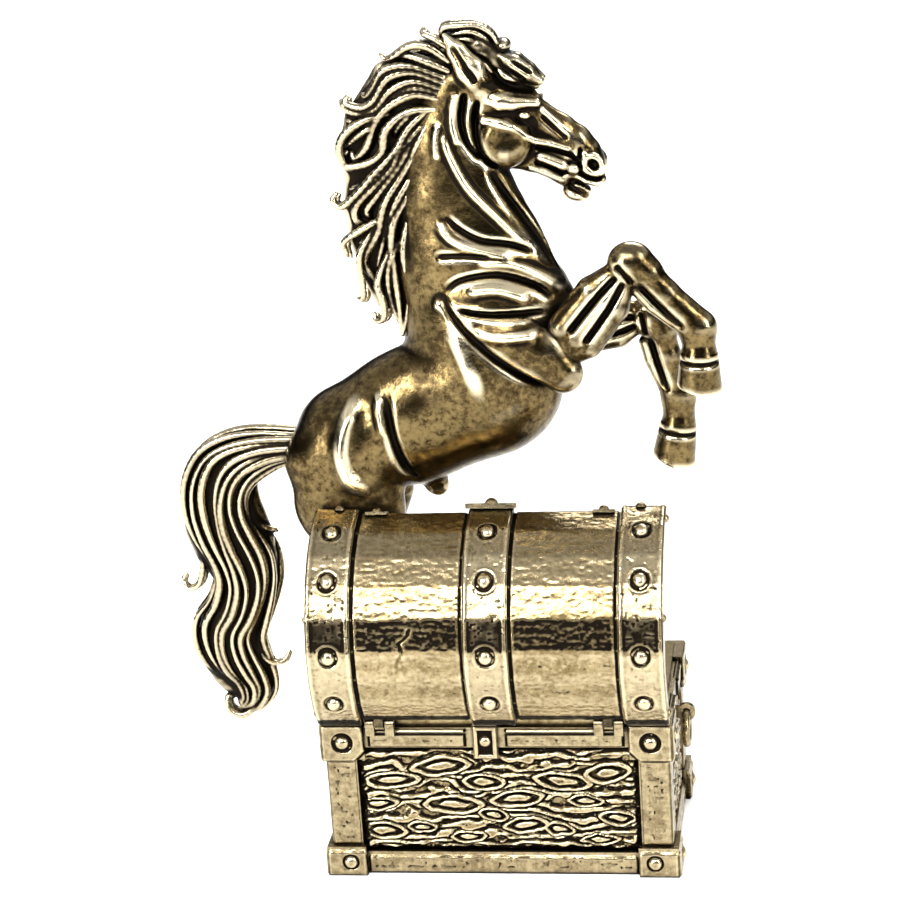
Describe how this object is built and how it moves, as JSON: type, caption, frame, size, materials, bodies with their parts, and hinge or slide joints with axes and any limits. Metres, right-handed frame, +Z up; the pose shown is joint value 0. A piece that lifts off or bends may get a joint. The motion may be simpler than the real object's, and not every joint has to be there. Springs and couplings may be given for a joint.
{
  "type": "rearing horse and treasure chest ornament",
  "caption": "Cast brass desk ornament: a rearing horse leaping out of an open barrel-lid treasure chest, with hinged lid and swinging side rings.",
  "frame": {"origin": "centre of the chest's underside, where the ornament stands", "axes": "+Z up; +X the way the horse faces, along the chest's width; -Y the chest's hinge side"},
  "size_m": [0.0571, 0.027, 0.0857],
  "materials": {
    "horse_brass": "antiqued, polished on the high places",
    "hair_brass": "antiqued, black in the grooves",
    "plank_brass": "antiqued, rough cast",
    "strap_brass": "antiqued, worn bright at the edges",
    "pin_brass": "dull",
    "treasure_brass": "antiqued"
  },
  "bodies": {
    "chest": {"floor_plate": "plank_brass", "panel_hinge_side": "plank_brass", "panel_front": "plank_brass", "panel_left": "plank_brass", "panel_right": "plank_brass", "corner_posts": "strap_brass", "bottom_rails_long": "strap_brass", "bottom_rails_end": "strap_brass", "top_rails_long": "strap_brass", "top_rails_end": "strap_brass", "top_brackets": "strap_brass", "foot_brackets": "strap_brass", "hinge_side_plate": "strap_brass", "lock_plate": "strap_brass", "base_rivets": "strap_brass", "hinge_knuckles_base": "strap_brass", "hinge_pin_left": "pin_brass", "hinge_pin_right": "pin_brass", "ring_staple_left": "strap_brass", "ring_staple_right": "strap_brass", "treasure_heap": "treasure_brass", "floor_screw": "pin_brass", "horse_body": "horse_brass", "mane": "hair_brass", "forelock": "hair_brass", "tail": "hair_brass", "right_foreleg": "horse_brass", "left_foreleg": "horse_brass"},
    "lid": {"lid_shell": "plank_brass", "lid_band_left": "strap_brass", "lid_band_centre": "strap_brass", "lid_band_right": "strap_brass", "lid_rivets": "strap_brass", "lid_edge_studs": "strap_brass", "lid_hasp": "strap_brass", "hinge_knuckles_lid": "strap_brass"},
    "ring_left": {"side_ring_left": "strap_brass"},
    "ring_right": {"side_ring_right": "strap_brass"}
  },
  "joints": [
    {"name": "lid_hinge", "type": "hinge", "parent": "chest", "child": "lid", "pos_m": [0, -0.0109, 0.0173], "axis": [1, 0, 0], "range_deg": [0, 45]},
    {"name": "ring_left_swing", "type": "hinge", "parent": "chest", "child": "ring_left", "pos_m": [-0.01875, 0, 0.0136], "axis": [0, 1, 0], "range_deg": [0, 80]},
    {"name": "ring_right_swing", "type": "hinge", "parent": "chest", "child": "ring_right", "pos_m": [0.01875, 0, 0.0136], "axis": [0, -1, 0], "range_deg": [0, 80]}
  ]
}
